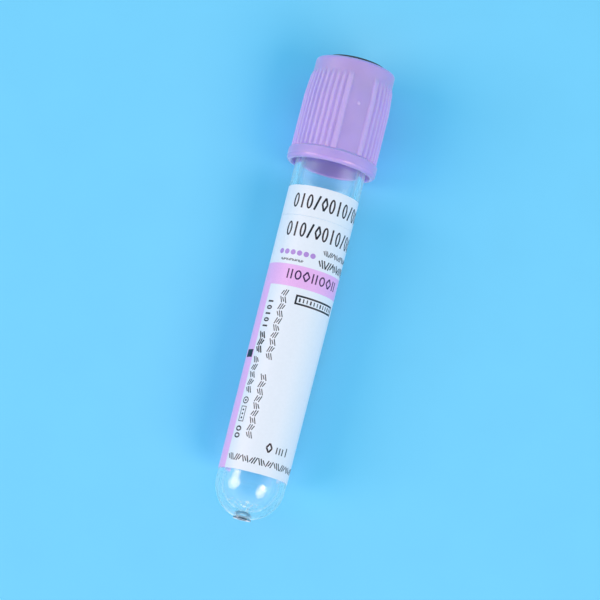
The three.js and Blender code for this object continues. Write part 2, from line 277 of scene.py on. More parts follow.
GROUPS = {
    "tube": TubeSettings,
    "label": LabelSettings,
    "cap": CapSettings,
    "stopper": StopperSettings,
    "additive": AdditiveSettings,
    "studio": StudioSettings,
}


def settings(group):
    """One group of settings of the current scene."""
    return getattr(bpy.context.scene, "collection_tube_" + group)


# ---- sizes worked out from those ----

def tube_radius(height):
    """Outside radius of the tapered tube at a height."""
    tube = settings("tube")
    return tube.mouth_radius - (tube.height - height) * math.tan(tube.draft)


def tube_bore(height):
    """Inside radius of the tapered tube at a height."""
    return tube_radius(height) - settings("tube").wall


def end_radius():
    """Radius of the round end, which meets the tapered wall at its own height."""
    tube = settings("tube")
    slope = math.tan(tube.draft)
    return (tube.mouth_radius - tube.height * slope) / (1 - slope)


def bowl():
    """Radius and centre height of the round bottom of the bore."""
    tube = settings("tube")
    radius = end_radius() - tube.wall
    return radius, tube.floor + radius


def label_radius(height):
    """Outside radius of the label at a height."""
    label = settings("label")
    return tube_radius(height) + label.glue + label.thickness


def chamber_radius():
    """Inside radius of the cap round the stopper's flange."""
    return settings("tube").mouth_radius + settings("cap").chamber_clearance


def hole_radius():
    """Radius of the hole in the cap's crown."""
    return chamber_radius() - settings("cap").ledge_width


def bore_foot_radius():
    """Inside radius of the cap's skirt at the foot of its bore."""
    cap = settings("cap")
    return settings("tube").mouth_radius + cap.bore_clearance + cap.bore_taper


def ease(value, low, high):
    """0 below low, 1 above high, and a smooth rise between them."""
    share = min(max((value - low) / (high - low), 0), 1)
    return share * share * (3 - 2 * share)


def shell_radius(height):
    """Radius of the smooth shell under the cap's ribs: skirt, swell or head."""
    cap = settings("cap")
    top = settings("tube").height + cap.swell_rise
    share = ease(height, top - cap.swell_height, top)
    skirt = bore_foot_radius() + cap.skirt_wall
    return skirt + share * (chamber_radius() + cap.head_wall - skirt)


# ---- mesh tools ----

def arc(centre, radius, start, end, steps):
    """Points on an arc about (radius, height) = centre, from one angle in degrees to another."""
    turns = (math.radians(start + (end - start) * i / steps) for i in range(steps + 1))
    return [(centre[0] + radius * math.cos(t), centre[1] + radius * math.sin(t)) for t in turns]


def around(radius, turn, height):
    """A point at a radius, an angle from the top line and a height."""
    return Vector((radius * math.sin(turn), -radius * math.cos(turn), height))


def steadied(outline, margin=0.1 * MM):
    """Adds a point near each end of every long straight, to keep its shading straight."""
    points = [outline[0]]
    for start, end in zip(outline, outline[1:]):
        size = math.dist(start, end)
        if size > 5 * margin:
            for share in (margin / size, 1 - margin / size):
                points.append([a + (b - a) * share for a, b in zip(start, end)])
        points.append(end)
    return points


def turned(outline, steps):
    """Spins an outline of (radius, height) points, open at the axis or closed, right round it."""
    mesh = bmesh.new()
    points = [mesh.verts.new(around(max(radius, 0), 0, height)) for radius, height in steadied(outline)]
    edges = [mesh.edges.new(pair) for pair in zip(points, points[1:])]
    bmesh.ops.spin(
        mesh, geom=points + edges, cent=(0, 0, 0), axis=(0, 0, 1), dvec=(0, 0, 0),
        angle=math.tau, steps=steps, use_merge=True,
    )
    bmesh.ops.remove_doubles(mesh, verts=mesh.verts, dist=1e-7)
    bmesh.ops.recalc_face_normals(mesh, faces=mesh.faces)
    return mesh


def placed(name, data):
    """Puts a mesh, a lamp or a camera into the scene."""
    thing = bpy.data.objects.new(name, data)
    bpy.context.scene.collection.objects.link(thing)
    return thing


def made_object(name, mesh, material):
    """Puts a bmesh into the scene as an object of one material."""
    data = bpy.data.meshes.new(name)
    mesh.to_mesh(data)
    mesh.free()
    data.materials.append(material)
    return placed(name, data)


def made_piece(name, mesh, material, body, slot, *nodes, sharp=35):
    """Lays a bmesh down where the frame holds the tube and makes a finished piece of it."""
    bmesh.ops.transform(mesh, matrix=LAID_DOWN, verts=mesh.verts)
    piece = made_object(name, mesh, material)
    piece.data.shade_smooth()
    piece.data.set_sharp_from_angle(angle=math.radians(sharp))
    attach(piece, body)
    if nodes:
        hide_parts(*nodes)


# ---- material tools ----

def add(tree, kind, inputs=None, **options):
    """Adds a node, sets its options, and sets or links its inputs."""
    node = tree.nodes.new("ShaderNode" + kind)
    for name, value in options.items():
        setattr(node, name, value)
    for key, value in (inputs or {}).items():
        if isinstance(value, bpy.types.NodeSocket):
            tree.links.new(value, node.inputs[key])
        else:
            node.inputs[key].default_value = value
    return node


def started(name):
    """An empty node material and its tree."""
    material = bpy.data.materials.new(name)
    material.use_nodes = True
    material.node_tree.nodes.clear()
    return material, material.node_tree


def finished(material, shader):
    """The material, with a shader's output linked to its surface."""
    tree = material.node_tree
    tree.links.new(shader, add(tree, "OutputMaterial").inputs["Surface"])
    return material


def grain(tree, size, detail=2):
    """Noise whose lumps are about one size across, in the object's own frame."""
    place = add(tree, "TexCoord").outputs["Object"]
    return add(tree, "TexNoise", {"Vector": place, "Scale": 1 / size, "Detail": detail}).outputs["Fac"]


def spread(tree, value, low, high):
    """A noise value, stretched from its usual range to run from low to high."""
    inputs = {"Value": value, "From Min": 0.3, "From Max": 0.7, "To Min": low, "To Max": high}
    return add(tree, "MapRange", inputs).outputs["Result"]


def shaded(tree, base, value, share):
    """A colour made darker and lighter by a share of itself as a value changes."""
    dark = [channel * (1 - share) for channel in base]
    light = [min(channel * (1 + share), 1) for channel in base]
    inputs = {"Factor": spread(tree, value, 0, 1), "A": (*dark, 1), "B": (*light, 1)}
    return add(tree, "Mix", inputs, data_type="RGBA").outputs["Result"]


def lit_through(tree, surface, tint, clear=False):
    """Lets lamp light pass a wall straight, dimmed to a tint, and bounced light too where it's clear."""
    path = add(tree, "LightPath").outputs
    light = path["Is Shadow Ray"]
    if clear:
        inputs = {0: light, 1: path["Is Diffuse Ray"]}
        light = add(tree, "Math", inputs, operation="MAXIMUM").outputs[0]
    passed = add(tree, "BsdfTransparent", {"Color": (*tint, 1)})
    both = add(tree, "MixShader", {0: light, 1: surface.outputs[0], 2: passed.outputs[0]})
    return both.outputs[0]


def clear_moulded_pet():
    """Clear moulded PET: water-white and glossy, with a trace of haze, and whitened edge-on as painted
    glint.
    """
    tube = settings("tube")
    material, tree = started("Clear moulded PET")
    haze = spread(tree, grain(tree, 0.9 * MM), 0.01, 0.07)
    waves = grain(tree, 1.4 * MM, detail=1)
    bump = add(tree, "Bump", {"Height": waves, "Strength": 0.1, "Distance": 0.1 * MM})
    along = add(tree, "SeparateXYZ", {0: add(tree, "TexCoord").outputs["Object"]}).outputs["Y"]

    def past(low, high):
        """0 up to one distance from the closed end's pole, and 1 from another on."""
        inputs = {"Value": along, "From Min": FOOT.y + low, "From Max": FOOT.y + high}
        return add(tree, "MapRange", inputs).outputs["Result"]

    # Painted glint: from 4 mm past the pole, the wall turns up to 28% white edge-on, as painted light for
    # the glints along its edges.
    edge_on = add(tree, "LayerWeight", {"Blend": 0.5}).outputs["Facing"]
    bloom = {"Value": edge_on, "From Min": 0.3, "From Max": 0.8, "To Min": 0, "To Max": 0.28}
    edge_glint = add(tree, "Math", {
        0: add(tree, "MapRange", bloom).outputs["Result"], 1: past(1 * MM, 4 * MM),
    }, operation="MULTIPLY")
    clear = add(tree, "Math", {0: 1, 1: edge_glint.outputs[0]}, operation="SUBTRACT").outputs[0]
    # Painted shade: dark on the gate button up to 0.05 mm past the pole, fading to the clear tint by 0.28
    # mm.
    gate_shaded_tint = add(tree, "Mix", {
        "Factor": past(0.05 * MM, 0.28 * MM), "A": (*tube.gate_shade_tint, 1), "B": (*tube.tint, 1),
    }, data_type="RGBA").outputs["Result"]
    plastic = add(tree, "BsdfPrincipled", {
        "Base Color": gate_shaded_tint, "Roughness": haze, "IOR": 1.57,
        "Transmission Weight": clear, "Normal": bump.outputs["Normal"],
        "Specular Tint": (0.8, 0.97, 1, 1), "Sheen Weight": 1.0, "Sheen Roughness": 0.4,
    })
    return finished(material, lit_through(tree, plastic, (0.97, 1.03, 1.06), clear=True))


def coated_label_paper():
    """Coated label paper, flexo printed: smooth and softly glossy, with flat fields of lilac."""
    label = settings("label")
    material, tree = started("Coated label paper")
    unwrapped = add(tree, "Mapping", {
        "Vector": add(tree, "UVMap", uv_map="wrap").outputs["UV"],
        "Location": (math.degrees(label.window_middle), 0, 0), "Scale": (360, WRAP_HEIGHT / MM, 1),
    })
    turn, height = add(tree, "SeparateXYZ", {0: unwrapped.outputs[0]}).outputs[:2]

    def between(value, low, high):
        """1 where a value lies between two others, and 0 elsewhere."""
        inputs = {0: value, 1: (low + high) / 2, 2: (high - low) / 2}
        return add(tree, "Math", inputs, operation="COMPARE").outputs[0]

    low, high = label.band_low / MM, label.band_high / MM
    band = between(height, low, high)
    beside = between(turn, math.degrees(label.window_middle), math.degrees(label.stripe_edge))
    under = between(height, 0, high)
    stripe = add(tree, "Math", {0: beside, 1: under}, operation="MULTIPLY").outputs[0]
    printed = add(tree, "Math", {0: band, 1: stripe}, operation="MAXIMUM").outputs[0]

    paper = shaded(tree, label.paper, grain(tree, 0.5 * MM, detail=4), 0.012)
    lilac = shaded(tree, label.field, grain(tree, 0.25 * MM, detail=3), 0.03)
    inks = add(tree, "Mix", {"Factor": printed, "A": paper, "B": lilac}, data_type="RGBA")
    sheen = spread(tree, grain(tree, 0.3 * MM), 0.38, 0.5)
    fibres = add(tree, "Bump", {
        "Height": grain(tree, 0.35 * MM, detail=3), "Strength": 0.12, "Distance": 0.02 * MM,
    })
    surface = add(tree, "BsdfPrincipled", {
        "Base Color": inks.outputs["Result"], "Roughness": sheen, "IOR": 1.5,
        "Normal": fibres.outputs["Normal"], "Sheen Weight": 0.4, "Sheen Roughness": 0.4,
    })
    return finished(material, lit_through(tree, surface, (0.3, 0.56, 0.62)))


def printing_ink(name, base):
    """Flexo printing ink: a thin dense film, a little uneven where the plate pressed harder."""
    material, tree = started(name)
    surface = add(tree, "BsdfPrincipled", {
        "Base Color": shaded(tree, base, grain(tree, 0.15 * MM, detail=3), 0.15),
        "Roughness": spread(tree, grain(tree, 0.3 * MM), 0.36, 0.5), "IOR": 1.5,
    })
    return finished(material, surface.outputs[0])


def satin_polyethylene():
    """Moulded polyethylene: satin from a spark-eroded mould, waxy, and a little lit from within, with a
    painted highlight on its rib crests and painted shade inside.
    """
    cap = settings("cap")
    material, tree = started("Satin moulded polyethylene")
    spark = grain(tree, 0.16 * MM, detail=3)  # spark pits of 0.03 mm, drawn coarser so that they show
    crest, within = add(tree, "SeparateXYZ", {
        0: add(tree, "UVMap", uv_map="relief").outputs["UV"],
    }).outputs[:2]
    grooves = shaded(tree, cap.plastic, grain(tree, 5 * MM, detail=1), 0.03)
    # Painted highlight: the rib crests are painted paler, as light on them.
    crests = add(tree, "Mix", {"Factor": crest, "A": grooves, "B": (*cap.crest, 1)}, data_type="RGBA")
    # Painted shade: the inside takes the deeper violet.
    parts = {"Factor": within, "A": crests.outputs["Result"], "B": (*cap.inside, 1)}
    polish = add(tree, "Math", {0: within, 1: -1}, operation="MULTIPLY").outputs[0]
    satin = {"Factor": polish, "A": spread(tree, spark, 0.34, 0.46), "B": 0.16}
    bump = add(tree, "Bump", {"Height": spark, "Strength": 0.16, "Distance": 0.02 * MM})
    surface = add(tree, "BsdfPrincipled", {
        "Base Color": add(tree, "Mix", parts, data_type="RGBA").outputs["Result"],
        "Roughness": add(tree, "Mix", satin).outputs["Result"], "IOR": 1.51,
        "Sheen Weight": 0.5, "Sheen Roughness": 0.4,
        "Subsurface Weight": 0.6, "Subsurface Radius": (0.6, 0.5, 1.4), "Subsurface Scale": 1.2 * MM,
        "Normal": bump.outputs["Normal"],
    })
    return finished(material, lit_through(tree, surface, (0.6, 0.7, 0.82)))


def butyl_rubber():
    """Moulded butyl rubber: dark, dull and faintly mottled by its filler."""
    stopper = settings("stopper")
    material, tree = started("Butyl rubber")
    filler = grain(tree, 0.25 * MM, detail=4)
    bump = add(tree, "Bump", {"Height": filler, "Strength": 0.2, "Distance": 0.02 * MM})
    surface = add(tree, "BsdfPrincipled", {
        "Base Color": shaded(tree, stopper.rubber, filler, 0.12),
        "Roughness": spread(tree, filler, 0.6, 0.78), "IOR": 1.52,
        "Normal": bump.outputs["Normal"],
    })
    return finished(material, surface.outputs[0])


def dried_salt_drops():
    """Spray-dried salt: small glassy domes with a whitish core."""
    additive = settings("additive")
    material, tree = started("Spray-dried salt")
    crust = spread(tree, grain(tree, 0.12 * MM, detail=3), 0.05, 0.35)
    surface = add(tree, "BsdfPrincipled", {
        "Base Color": shaded(tree, additive.salt, grain(tree, 0.2 * MM), 0.05),
        "Roughness": crust, "IOR": 1.42, "Transmission Weight": 0.6,
    })
    return finished(material, lit_through(tree, surface, (0.9, 0.94, 0.96), clear=True))


def studio_floor():
    """A seamless sheet of pale blue background card, matt and even."""
    studio = settings("studio")
    material, tree = started("Pale blue background card")
    card = grain(tree, 12 * MM)
    surface = add(tree, "BsdfPrincipled", {
        "Base Color": shaded(tree, studio.floor, card, 0.01), "Roughness": 0.85, "IOR": 1.3,
    })
    return finished(material, surface.outputs[0])


# ---- tube ----

class COLLECTIONTUBE_OT_tube(bpy.types.Operator):
    """Models the clear tube with its wall, round end, gate button and rounded mouth"""
    bl_idname = "collection_tube.tube"
    bl_label = "Clear Tube"

    def execute(self, context):
        tube = settings("tube")
        end = end_radius()
        bowl_radius, bowl_height = bowl()
        well_top = tube.gate_well_depth - tube.gate_height
        well_corner, button_corner = 0.06 * MM, 0.05 * MM
        gate_turn = -math.degrees(math.acos(tube.gate_radius / end))
        lip = tube.height - tube.lip_rounding
        lip_outer = tube_radius(tube.height) - tube.lip_rounding
        lip_inner = tube_bore(tube.height) + tube.lip_rounding
        outline = [
            (0, well_top),
            (tube.gate_well_radius * 0.92, well_top),
            (tube.gate_well_radius, well_top - well_corner),
            (tube.gate_well_radius, -tube.gate_height),
            (tube.gate_radius - button_corner, -tube.gate_height),
            (tube.gate_radius, button_corner - tube.gate_height),
            *arc((0, end), end, gate_turn, 0, 36),
            *arc((lip_outer, lip), tube.lip_rounding, 0, 90, 8),
            *arc((lip_inner, lip), tube.lip_rounding, 90, 180, 8),
            *arc((0, bowl_height), bowl_radius, 0, -90, 40),
        ]
        mesh = turned(outline, tube.steps)
        made_piece("tube_moulding", mesh, clear_moulded_pet(), "tube_body", "clear_tube", "tube")
        return {"FINISHED"}


# ---- label ----

def wrapped_paper(name, node, low, high, material):
    """Paper wrapped round the tube between two heights, short of the window strip."""
    label = settings("label")
    start = label.window_middle + label.window_width / 2
    turn = math.tau - label.window_width
    mesh = bmesh.new()
    rows = 8
    heights = [low + (high - low) * i / rows for i in range(rows + 1)]
    inside = [(tube_radius(h) + label.glue, h) for h in heights]
    outside = [(label_radius(h), h) for h in heights]
    ring = [mesh.verts.new(around(r, start, h)) for r, h in inside + outside[::-1]]
    edges = [mesh.edges.new(pair) for pair in zip(ring, ring[1:] + ring[:1])]
    bmesh.ops.spin(
        mesh, geom=ring + edges, cent=(0, 0, 0), axis=(0, 0, 1), dvec=(0, 0, 0),
        angle=turn, steps=label.steps, use_merge=False,
    )
    ends = [edge for edge in mesh.edges if edge.is_boundary]
    bmesh.ops.holes_fill(mesh, edges=ends, sides=len(ring))
    bmesh.ops.recalc_face_normals(mesh, faces=mesh.faces)
    wrap = mesh.loops.layers.uv.new("wrap")
    for face in mesh.faces:
        for loop in face.loops:
            x, y, height = loop.vert.co
            past = (math.atan2(x, -y) - label.window_middle) % math.tau
            loop[wrap].uv = (past / math.tau, height / WRAP_HEIGHT)
    made_piece(name, mesh, material, "tube_body", "label_paper", node, sharp=50)


class COLLECTIONTUBE_OT_label(bpy.types.Operator):
    """Wraps the label and its tear-off strip round the tube"""
    bl_idname = "collection_tube.label"
    bl_label = "Label"

    def execute(self, context):
        paper = coated_label_paper()
        foot, cut_low = span("label")
        cut_high, top = span("label_tear_strip")
        cut = (cut_low + cut_high) / 2
        half = settings("label").cut / 2
        wrapped_paper("label_sheet", "label", foot, cut - half, paper)
        wrapped_paper("label_strip", "label_tear_strip", cut + half, top, paper)
        return {"FINISHED"}


class Marks:
    """Flat printed marks. x is in mm right of the top line, and y in mm up from the closed end."""

    def __init__(self):
        self.mesh = bmesh.new()

    def bar(self, start, end, weight):
        """A straight stroke with square ends."""
        start, end = Vector(start), Vector(end)
        way = end - start
        reach = Matrix.Rotation(math.atan2(way.y, way.x), 4, "Z")
        size = Matrix.Diagonal((way.length, weight, 1, 1))
        place = Matrix.Translation(((start + end) / 2).to_3d()) @ reach @ size
        bmesh.ops.create_grid(
            self.mesh, x_segments=max(1, round(way.length / 0.3)),
            y_segments=max(1, round(weight / 0.3)), size=0.5, matrix=place,
        )

    def ring(self, centre, wide, tall, weight):
        """An oval stroke."""
        edges = []
        for inset in (0, weight):
            size = Matrix.Diagonal((wide / 2 - inset, tall / 2 - inset, 1, 1))
            place = Matrix.Translation((*centre, 0)) @ size
            made = bmesh.ops.create_circle(self.mesh, segments=28, radius=1, matrix=place)
            edges += {edge for vertex in made["verts"] for edge in vertex.link_edges}
        bmesh.ops.bridge_loops(self.mesh, edges=edges)

    def dot(self, centre, wide):
        """A filled round mark."""
        place = Matrix.Translation((*centre, 0))
        bmesh.ops.create_circle(
            self.mesh, cap_ends=True, cap_tris=True, segments=16, radius=wide / 2, matrix=place,
        )

    def diamond(self, centre, wide, tall, weight):
        """Four strokes round a lozenge."""
        x, y = centre
        corners = [(x, y + tall / 2), (x + wide / 2, y), (x, y - tall / 2), (x - wide / 2, y)]
        for start, end in zip(corners, corners[1:] + corners[:1]):
            self.bar(start, end, weight)

    def box(self, low, high, weight):
        """Four strokes round a rectangle."""
        left, bottom = low
        right, top = high
        half = weight / 2
        for y in (bottom, top):
            self.bar((left - half, y), (right + half, y), weight)
        for x in (left, right):
            self.bar((x, bottom + half), (x, top - half), weight)

    def line(self, start, step, number, size, weight):
        """A row or column of small squares of three slanting strokes, which stand for small print."""
        for index in range(number):
            x, y = start[0] + step[0] * index, start[1] + step[1] * index
            lean = (0.42 if index % 2 else -0.42) * size * 0.45
            for stroke in range(3):
                middle = x + (stroke - 1) * size * 0.36
                reach = size * (0.5 if (index + stroke) % 3 else 0.34)
                self.bar((middle - lean, y - reach), (middle + lean, y + reach), weight)

    def printed(self, name, material):
        """Wraps the marks on the label as a film of ink."""
        lift, film = 0.002 * MM, 0.004 * MM
        for vertex in self.mesh.verts:
            x, y = vertex.co.xy * MM
            radius = label_radius(y)
            vertex.co = around(radius + lift, x / radius, y)
        for face in self.mesh.faces:
            outward = face.calc_center_median() * Vector((1, 1, 0))
            face.normal_update()
            if face.normal.dot(outward) < 0:
                face.normal_flip()
        bmesh.ops.solidify(self.mesh, geom=self.mesh.faces[:], thickness=-film)
        bmesh.ops.recalc_face_normals(self.mesh, faces=self.mesh.faces)
        made_piece(name, self.mesh, material, "tube_body", "label_paper")


def code_row(marks, low, high):
    """A row of tall plain shapes: rings, bars, slashes and diamonds."""
    middle, tall = (low + high) / 2, high - low
    left, pitch = -4.45, 1.35
    for index, shape in enumerate("o|o/vo|o/ov"):
        x = left + pitch * index
        if shape == "o":
            marks.ring((x, middle), 1.1, tall, 0.33)
        elif shape == "v":
            marks.diamond((x, middle), 0.9, tall - 0.25, 0.31)
        else:
            lean = 0.33 if shape == "/" else 0
            marks.bar((x - lean, low), (x + lean, high), 0.35)


def dark_marks():
    """All print in the dark ink: code rows, small lines, framed box and volume mark."""
    marks = Marks()
    for low, high in ((54.3, 56.9), (49.2, 51.8)):
        code_row(marks, low, high)
    marks.line((3.3, 47.45), (1.15, 0), 7, 0.95, 0.17)
    marks.line((3.1, 45.45), (1.5, 0), 6, 1.4, 0.24)
    marks.line((-4.4, 45.0), (0.55, 0), 8, 0.42, 0.09)
    marks.box((0.1, 37.65), (8.2, 39.05), 0.32)
    for index in range(11):
        x = 0.75 + 0.68 * index
        marks.bar((x, 38.0), (x, 38.7), 0.2 if index % 3 else 0.3)
    column, second = -4.5, -2.1  # middles of the two upright columns
    marks.line((column, 28.7), (0, 1.28), 3, 1.2, 0.28)
    for index in range(5):
        y = 32.9 + 1.1 * index
        if index % 2:
            marks.ring((column, y), 1.15, 0.76, 0.26)
        else:
            marks.bar((column - 0.55, y), (column + 0.55, y), 0.3)
    marks.line((column, 21.5), (0, 1.33), 5, 1.1, 0.2)
    marks.ring((column, 19.6), 1.25, 1.25, 0.18)
    marks.dot((column, 19.6), 0.4)
    marks.box((column - 0.5, 15.9), (column + 0.5, 18.5), 0.13)
    for index in range(3):
        marks.dot((column, 16.5 + 0.7 * index), 0.36)
    for y in (13.4, 14.6):
        marks.ring((column, y), 1.2, 0.95, 0.25)
    for foot, number in ((13.8, 9), (27.7, 10)):
        marks.line((second, foot), (0, 1.27), number, 1.1, 0.17)
    marks.diamond((1.9, 12.4), 1.0, 1.6, 0.3)
    for x in (3.35, 3.95, 4.55, 5.4):
        marks.bar((x, 11.7), (x, 12.85 if x < 5 else 13.2), 0.22)
    marks.line((-4.6, 9.7), (1.45, 0), 12, 1.15, 0.19)
    marks.bar((-8.0, 27.9), (-5.9, 27.9), 1.4)
    return marks


def band_marks():
    """The tall plain shapes on the lilac band."""
    marks = Marks()
    low, high = 41.7, 43.4
    middle, tall = (low + high) / 2, high - low
    for index in range(7):
        x = -2.1 + 1.5 * index
        if index % 3 == 0:
            for stroke in (-0.35, 0.35):
                marks.bar((x + stroke, low), (x + stroke, high), 0.27)
        elif index % 3 == 1:
            marks.ring((x, middle), 1.2, tall, 0.27)
        else:
            marks.diamond((x, middle), 1.15, tall, 0.27)
    return marks


class COLLECTIONTUBE_OT_print(bpy.types.Operator):
    """Prints plain shapes on the label, where such labels carry their lines of print"""
    bl_idname = "collection_tube.print"
    bl_label = "Label Print"

    def execute(self, context):
        label = settings("label")
        dark_marks().printed("label_print_dark", printing_ink("Dark printing ink", label.ink))
        band_marks().printed("label_print_band", printing_ink("Purple printing ink", label.band_ink))
        accent = Marks()
        for index in range(6):
            accent.dot((-4.9 + 1.2 * index, 46.35), 0.95)
        accent.printed("label_print_accent", printing_ink("Violet printing ink", label.accent))
        return {"FINISHED"}


# ---- cap ----

def rib_section(distance, crest, flank):
    """Height of one rib, 0 to 1, at an angle from its middle."""
    return ease(crest + flank - abs(distance), 0, flank)


def rib_pattern(turn):
    """Height of the ribs, 0 to 1, at an angle from the top line."""
    cap = settings("cap")
    half = math.pi
    turned_by = (turn - cap.panel_turn) % half
    from_panel = min(turned_by, half - turned_by)
    wide = rib_section(from_panel - cap.wide_rib_turn, cap.wide_crest, cap.rib_flank)
    first = cap.wide_rib_turn * 1.5
    pitch = (half - 2 * first) / (cap.ribs_per_run - 1)
    along = from_panel - first
    nearest = max(round(along / pitch), 0) * pitch
    return max(wide, rib_section(along - nearest, cap.narrow_crest, cap.rib_flank))


def cap_outline(rim, crown):
    """The cap's section, up the outside and down the inside."""
    cap = settings("cap")
    tube = settings("tube")
    rim_radius = girth("cap")
    rim_top = rim + cap.rim_height
    skirt = bore_foot_radius() + cap.skirt_wall
    head = chamber_radius() + cap.head_wall
    rib_top = crown - cap.rib_top_margin
    mark = crown - cap.gate_mark_drop
    ceiling = crown - cap.crown_thickness
    bead = tube.height - cap.bead_height
    bead_radius = tube.mouth_radius + cap.bead_clearance
    mouth = bore_foot_radius() + cap.mouth_flare
    reach = cap.gate_mark_radius * 1.2
    levels = [
        *(rim_top + cap.rim_shoulder + 0.2 * MM * i for i in range(3)),
        *(mark - reach + reach * i / 6 for i in range(13)),
        *(mark + reach + (rib_top - mark - reach) * i / 24 for i in range(1, 25)),
    ]
    rounding = cap.rim_rounding
    top_rounding = cap.crown_rounding
    corner, fillet = 0.12 * MM, 0.05 * MM
    return [
        *arc((rim_radius - rounding, rim + rounding), rounding, -90, 0, 10),
        *arc((rim_radius - corner, rim_top - corner), corner, 0, 60, 4),
        (skirt + fillet, rim_top + cap.rim_shoulder * 0.85),
        *((shell_radius(level), level) for level in levels),
        *arc((head - top_rounding, crown - top_rounding), top_rounding, 0, 90, 8),
        (hole_radius() + corner, crown),
        (hole_radius(), crown - corner),
        (hole_radius(), ceiling),
        (chamber_radius(), ceiling),
        (chamber_radius(), tube.height),
        (bead_radius, bead + cap.bead_height / 2),
        (bead_radius, bead),
        (tube.mouth_radius + cap.bore_clearance, bead - cap.bead_height),
        (bore_foot_radius(), rim + cap.lead_in_height),
        (mouth, rim + cap.mouth_rounding),
        *arc((mouth + cap.mouth_rounding, rim + cap.mouth_rounding), cap.mouth_rounding, 180, 270, 5),
    ]


class COLLECTIONTUBE_OT_cap(bpy.types.Operator):
    """Models the ribbed cap: turned shell, raised grip ribs and the small moulding mark"""
    bl_idname = "collection_tube.cap"
    bl_label = "Cap"

    def execute(self, context):
        cap = settings("cap")
        rim, crown = span("cap")
        crown -= cap.crown_drop
        outline = cap_outline(rim, crown)
        mesh = turned([*outline, outline[0]], cap.steps)
        rib_foot = rim + cap.rim_height + cap.rim_shoulder
        rib_top = crown - cap.rib_top_margin
        mark_height = crown - cap.gate_mark_drop
        mark = around(shell_radius(mark_height), cap.panel_turn, mark_height)
        skin, margin = 0.05 * MM, 0.01 * MM
        relief = mesh.loops.layers.uv.new("relief")  # u: rib's share, which paints the crests paler as painted highlight; v: 1 inside, painted darker as painted shade, -1 where polished
        for vertex in mesh.verts:
            x, y, height = vertex.co
            radius = vertex.co.xy.length
            if radius < shell_radius(height) - skin or height < rib_foot - margin:
                # Painted shade goes on the skirt's bore and the chamber, below the crown's underside.
                inside = radius < bore_foot_radius() + cap.mouth_flare + margin
                inside = inside and height < crown - cap.crown_thickness + margin
                polished = height < rim + cap.rim_rounding
                uv = (0, 1 if inside else -1 if polished else 0)
            else:
                fade = 1 - ease(height, rib_top - cap.rib_run_out, rib_top)
                near = (vertex.co - mark).length / cap.gate_mark_radius
                rise = 1 - ease(near, 0.55, 1.0)
                rib = fade * rib_pattern(math.atan2(x, -y))
                vertex.co.xy *= 1 + (cap.rib_height * rib + cap.gate_mark_height * rise) / radius
                # The rib's share, or the mark's, paints it paler as painted highlight.
                uv = (max(rib, rise), 0)
            for loop in vertex.link_loops:
                loop[relief].uv = uv
        made_piece("cap_shield", mesh, satin_polyethylene(), "cap_body", "cap_plastic", "cap", sharp=50)
        return {"FINISHED"}


# ---- stopper ----

def sealing_rings(stopper, tip):
    """Points up the side of the plug: a groove, then a rounded sealing ring, for each ring."""
    tube = settings("tube")
    top = tube.height - tube.lip_rounding - stopper.ring_height / 2
    pitch = (top - tip - stopper.tip_length) / stopper.ring_count
    points = []
    steps = 8
    for index in range(stopper.ring_count):
        foot = tip + stopper.tip_length + index * pitch
        seal = tube_bore(foot + stopper.ring_height / 2) - stopper.plug_clearance
        for step in range(steps + 1):
            rise = math.sin(math.pi * step / steps) ** 0.6 if 0 < step < steps else 0
            height = foot + stopper.ring_height * step / steps
            points.append((seal - stopper.ring_depth * (1 - rise), height))
    return points


class COLLECTIONTUBE_OT_stopper(bpy.types.Operator):
    """Models the stopper: boss with needle well, flange, and hollow plug with sealing rings"""
    bl_idname = "collection_tube.stopper"
    bl_label = "Stopper"

    def execute(self, context):
        stopper = settings("stopper")
        tube = settings("tube")
        tip, boss_top = span("stopper")
        seat = tube.height + stopper.seat_gap
        cap = settings("cap")
        crown = span("cap")[1] - cap.crown_drop
        flange_top = crown - cap.crown_thickness - stopper.seat_gap
        flange = chamber_radius() - stopper.flange_clearance
        boss = hole_radius() - stopper.hole_clearance
        chamfer = stopper.flange_chamfer
        rounding = stopper.boss_rounding
        root = tube_bore(tube.height) - stopper.plug_clearance - stopper.ring_depth
        floor = boss_top - stopper.well_depth
        hollow_top = tip + stopper.hollow_depth - stopper.hollow_radius
        hollow_corner, tip_corner, well_corner = 0.1 * MM, 0.25 * MM, 0.15 * MM
        outline = [
            *arc((0, hollow_top), stopper.hollow_radius, 90, 0, 14),
            (stopper.hollow_radius, tip + hollow_corner),
            (stopper.hollow_radius + hollow_corner, tip),
            *arc((root - stopper.tip_inset - tip_corner, tip + tip_corner), tip_corner, -90, 0, 5),
            *sealing_rings(stopper, tip),
            (root, seat),
            *arc((flange - chamfer, seat + chamfer), chamfer, -90, 0, 6),
            *arc((flange - chamfer, flange_top - chamfer), chamfer, 0, 90, 6),
            (boss, flange_top),
            *arc((boss - rounding, boss_top - rounding), rounding, 0, 90, 6),
            *arc((stopper.well_radius + well_corner, boss_top - well_corner), well_corner, 90, 180, 4),
            (stopper.well_floor_radius, floor + stopper.well_chamfer),
            (stopper.well_floor_radius - stopper.well_chamfer, floor),
            (0, floor),
        ]
        mesh = turned(outline, stopper.steps)
        made_piece("stopper_plug", mesh, butyl_rubber(), "cap_body", "stopper_rubber", "stopper", sharp=50)
        return {"FINISHED"}


# ---- dried additive ----

